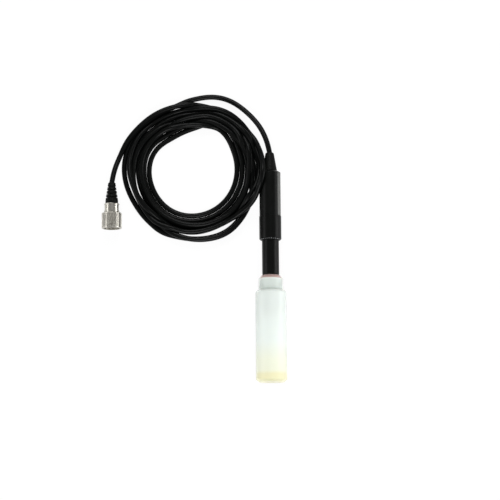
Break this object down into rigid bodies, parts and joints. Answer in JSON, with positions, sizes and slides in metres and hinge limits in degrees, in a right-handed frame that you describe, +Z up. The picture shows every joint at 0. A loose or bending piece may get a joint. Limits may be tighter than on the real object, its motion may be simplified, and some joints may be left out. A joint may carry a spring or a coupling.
{
  "type": "dissolved oxygen probe",
  "caption": "Handheld dissolved oxygen probe with a coiled cable and screw-on plug, lying down with its sensing tip in a milky storage bottle.",
  "frame": {"origin": "on the table below the middle of the probe and bottle, not counting the cord", "axes": "+Y along the lying probe towards its cable end, bottle base at -Y, +Z up, +X away from the coil"},
  "size_m": [0.1741, 0.2783, 0.0292],
  "materials": {
    "black_abs": "moulded black ABS, satin",
    "label_grey": "bare grey plate, matt",
    "relief_rubber": "moulded black rubber, matt",
    "cable_pvc": "extruded black PVC, satin",
    "bottle_pe": "blow-moulded natural polyethylene, milky",
    "cap_pp": "moulded natural polypropylene, milky",
    "seal_silicone": "red silicone rubber",
    "washer_ptfe": "white PTFE",
    "foam_damp": "damp pale yellow foam",
    "black_rubber": "black nitrile rubber",
    "epoxy_dark": "cast dark epoxy",
    "gold": "gold plated",
    "silver": "silver",
    "steel": "stainless steel",
    "nickel": "nickel plated brass",
    "board_green": "glass epoxy board with solder mask",
    "wire_amber": "insulated wire",
    "bead_brown": "coated thermistor bead",
    "membrane_film": "thin fluoropolymer film"
  },
  "bodies": {
    "root": {"stem_tube": "black_abs", "stem_seal": "black_rubber", "collar": "black_abs", "handle_shell": "black_abs", "label_plate": "label_grey", "strain_relief": "relief_rubber", "cable_tail": "cable_pvc", "cable_clamp": "steel", "cable_cores": "wire_amber", "circuit_board": "board_green", "amplifier_chip": "epoxy_dark", "sensor_leads": "wire_amber", "lead_bung": "black_rubber", "electrode_body": "epoxy_dark", "cathode_disc": "gold", "anode_sleeve": "silver", "temperature_button": "steel", "thermistor": "bead_brown", "cable_lead": "cable_pvc", "cable_coil": "cable_pvc", "plug_lead": "cable_pvc", "plug_boot": "relief_rubber", "plug_back": "nickel", "plug_body": "nickel", "plug_insert": "epoxy_dark", "plug_pins": "gold", "plug_seal": "seal_silicone"},
    "bottle": {"storage_bottle": "bottle_pe", "foam_pad": "foam_damp"},
    "seal": {"cap_seal": "seal_silicone", "seal_washer": "washer_ptfe"},
    "cap": {"bottle_cap": "cap_pp"},
    "gasket": {"membrane_gasket": "black_rubber"},
    "tip_cap": {"membrane_cap": "black_abs", "membrane": "membrane_film", "membrane_ring": "washer_ptfe"},
    "plug_ring": {"coupling_ring": "nickel"}
  },
  "joints": [
    {"name": "bottle_pull", "type": "slide", "parent": "root", "child": "bottle", "axis": [0, -1, 0], "range_m": [0, 0.07]},
    {"name": "seal_lift", "type": "slide", "parent": "bottle", "child": "seal", "axis": [0, 1, 0], "range_m": [0, 0.0031]},
    {"name": "cap_turn", "type": "hinge", "parent": "seal", "child": "cap", "pos_m": [0, -0.01515, 0.0146], "axis": [0, 1, 0], "range_deg": [0, 540]},
    {"name": "gasket_drop", "type": "slide", "parent": "root", "child": "gasket", "axis": [0, -1, 0], "range_m": [0, 0.003]},
    {"name": "tip_cap_turn", "type": "hinge", "parent": "gasket", "child": "tip_cap", "pos_m": [0, -0.03935, 0.0146], "axis": [0, -1, 0], "range_deg": [0, 1081]},
    {"name": "ring_turn", "type": "hinge", "parent": "root", "child": "plug_ring", "pos_m": [-0.15, 0.045, 0.0095], "axis": [0, -1, 0], "continuous": true}
  ],
  "couplings": [
    {"joint": "seal_lift", "follows": "cap_turn", "m_per_rad": 0.00031831},
    {"joint": "tip_cap_turn", "follows": "gasket_drop", "rad_per_m": 6283.2}
  ]
}
